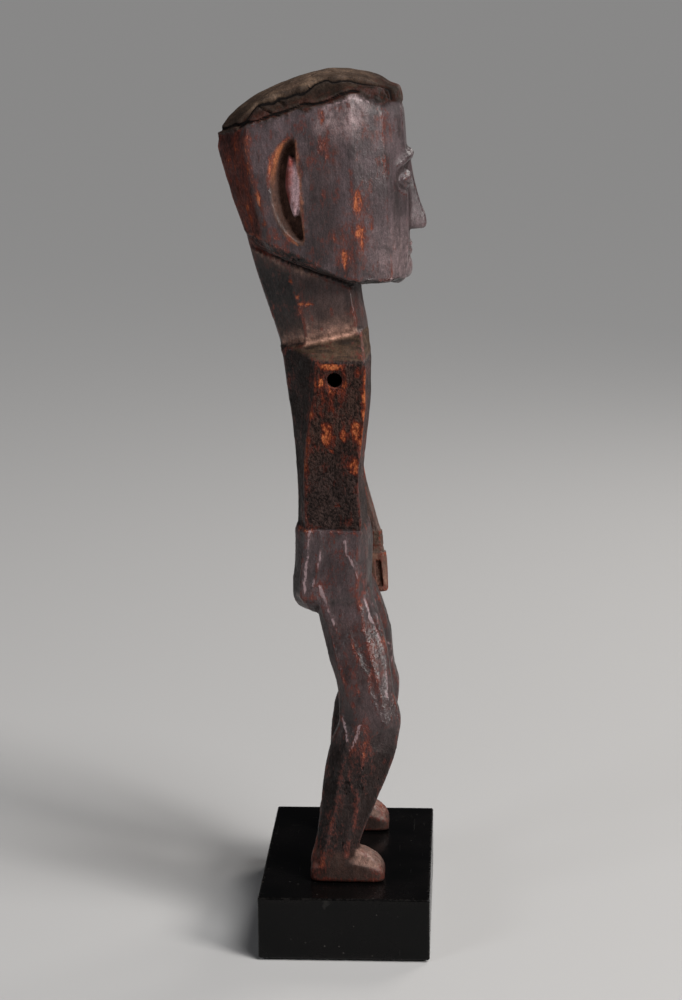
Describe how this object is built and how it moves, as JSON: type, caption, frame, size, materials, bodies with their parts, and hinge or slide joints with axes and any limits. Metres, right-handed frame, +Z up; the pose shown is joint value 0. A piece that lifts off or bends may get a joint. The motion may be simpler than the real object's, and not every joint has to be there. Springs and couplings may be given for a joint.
{
  "type": "carved standing ancestor figure",
  "caption": "Carved standing ancestor figure with a flat-sided head and one arm hung on a shoulder peg, mounted by two pins on a black display block.",
  "frame": {"origin": "centre of the felt's underside, where the stand rests", "axes": "+Z up; the figure faces -Y and its left is +X"},
  "size_m": [0.12, 0.0962, 0.407],
  "materials": {
    "black_lacquer": "satin black lacquer on hardwood",
    "black_felt": "matt felt",
    "steel_pin": "plain drawn rod",
    "dark_carved_wood": "dark brown-black patina, satin on the knife facets and crusted on the shoulders, worn to red-brown on the edges",
    "arm_wood": "worn brown patina",
    "peg_wood": "bare whittled wood, dirty"
  },
  "bodies": {
    "stand": {"display_block": "black_lacquer", "base_felt": "black_felt", "mounting_pin_left": "steel_pin", "mounting_pin_right": "steel_pin"},
    "figure": {"carved_figure": "dark_carved_wood", "left_shoulder_peg": "peg_wood"},
    "arm": {"left_arm": "arm_wood"}
  },
  "joints": [
    {"name": "figure_lift", "type": "slide", "parent": "stand", "child": "figure", "axis": [0, 0, 1], "range_m": [0, 0.03]},
    {"name": "left_arm_swing", "type": "hinge", "parent": "figure", "child": "arm", "pos_m": [0.0305, 0.004, 0.2685], "axis": [-1, 0, 0], "range_deg": [-30, 110]}
  ]
}
